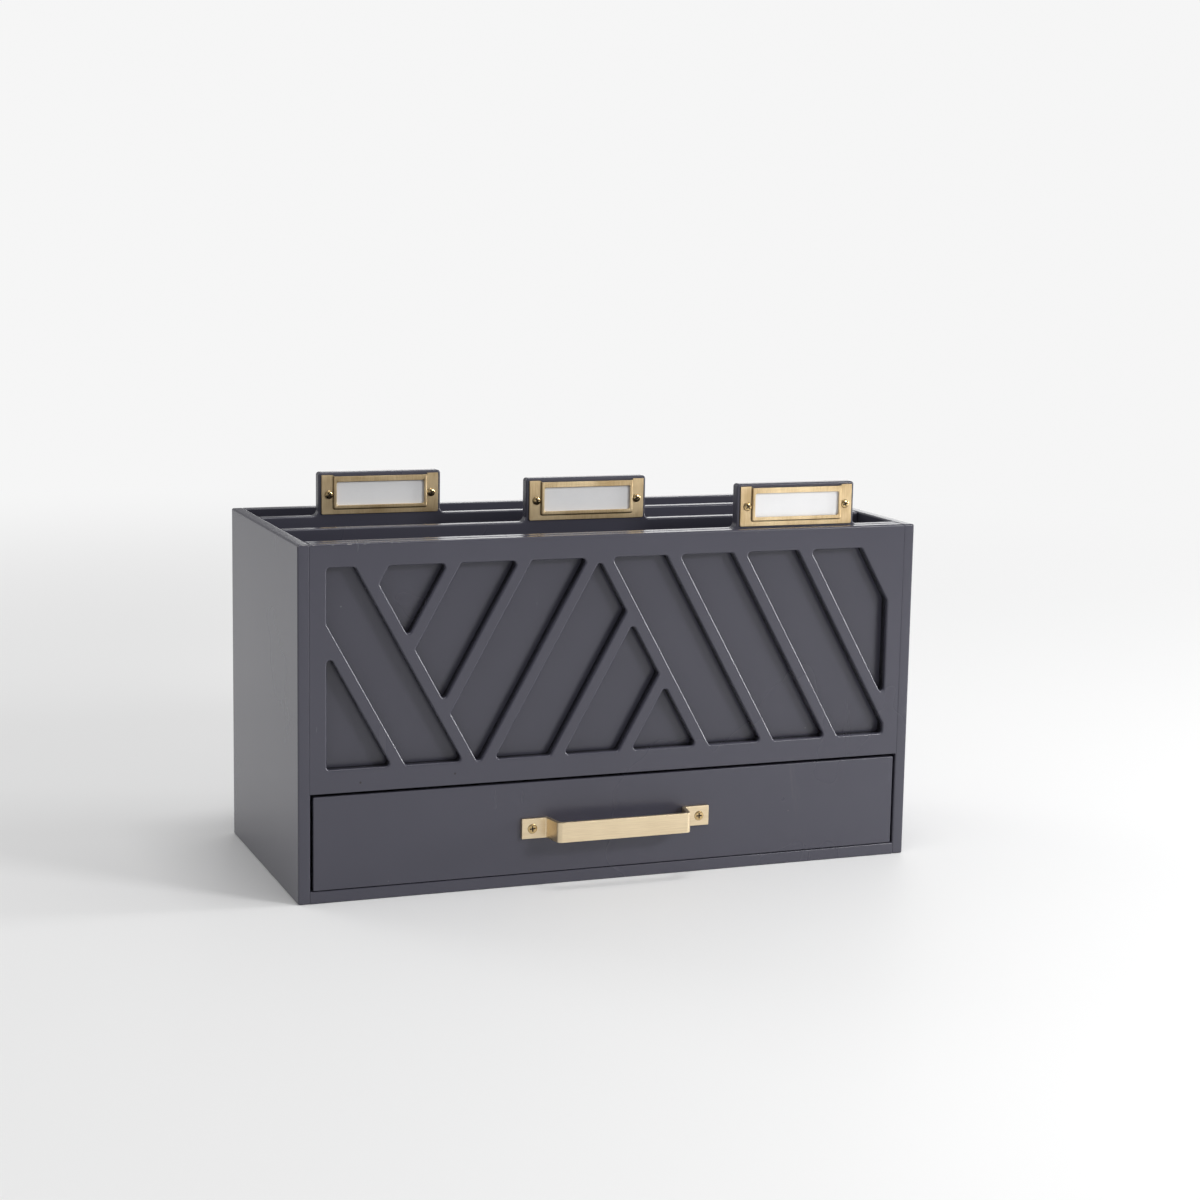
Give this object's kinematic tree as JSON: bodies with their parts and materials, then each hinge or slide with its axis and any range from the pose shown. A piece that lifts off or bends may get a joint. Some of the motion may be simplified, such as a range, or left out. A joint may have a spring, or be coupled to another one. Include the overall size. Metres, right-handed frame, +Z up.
{
  "type": "envelope sorter with drawer",
  "caption": "Desktop envelope sorter in painted board: upright slots behind a fretted front, staggered tabs with brass label holders, and a shallow drawer with a brass bar pull.",
  "frame": {"origin": "middle of the case's footprint, on the surface that it stands on", "axes": "+X from the viewer's left to right along the front, +Y from the front to the back, +Z up"},
  "size_m": [0.32, 0.154, 0.194],
  "materials": {
    "charcoal_paint": "satin charcoal paint on fibreboard",
    "pale_brass": "satin pale brass",
    "brass": "satin brass plate",
    "steel": "plain bright steel",
    "white_card": "matte white card"
  },
  "bodies": {
    "case": {"left_side_panel": "charcoal_paint", "right_side_panel": "charcoal_paint", "base_panel": "charcoal_paint", "back_panel": "charcoal_paint", "slot_floor": "charcoal_paint", "front_fret_panel": "charcoal_paint", "front_backing_panel": "charcoal_paint", "middle_divider": "charcoal_paint", "rear_divider": "charcoal_paint", "front_brads": "steel", "front_label_holder": "brass", "front_holder_screws": "brass", "middle_label_holder": "brass", "middle_holder_screws": "brass", "rear_label_holder": "brass", "rear_holder_screws": "brass"},
    "drawer": {"drawer_front": "charcoal_paint", "drawer_left_side": "charcoal_paint", "drawer_right_side": "charcoal_paint", "drawer_back": "charcoal_paint", "drawer_bottom": "charcoal_paint", "drawer_pull": "pale_brass", "pull_screws": "brass"},
    "front_card": {"front_label_card": "white_card"},
    "middle_card": {"middle_label_card": "white_card"},
    "rear_card": {"rear_label_card": "white_card"}
  },
  "joints": [
    {"name": "drawer_slide", "type": "slide", "parent": "case", "child": "drawer", "axis": [0, -1, 0], "range_m": [0, 0.1]},
    {"name": "front_card_lift", "type": "slide", "parent": "case", "child": "front_card", "axis": [0, 0, 1], "range_m": [0, 0.015]},
    {"name": "middle_card_lift", "type": "slide", "parent": "case", "child": "middle_card", "axis": [0, 0, 1], "range_m": [0, 0.015]},
    {"name": "rear_card_lift", "type": "slide", "parent": "case", "child": "rear_card", "axis": [0, 0, 1], "range_m": [0, 0.015]}
  ]
}
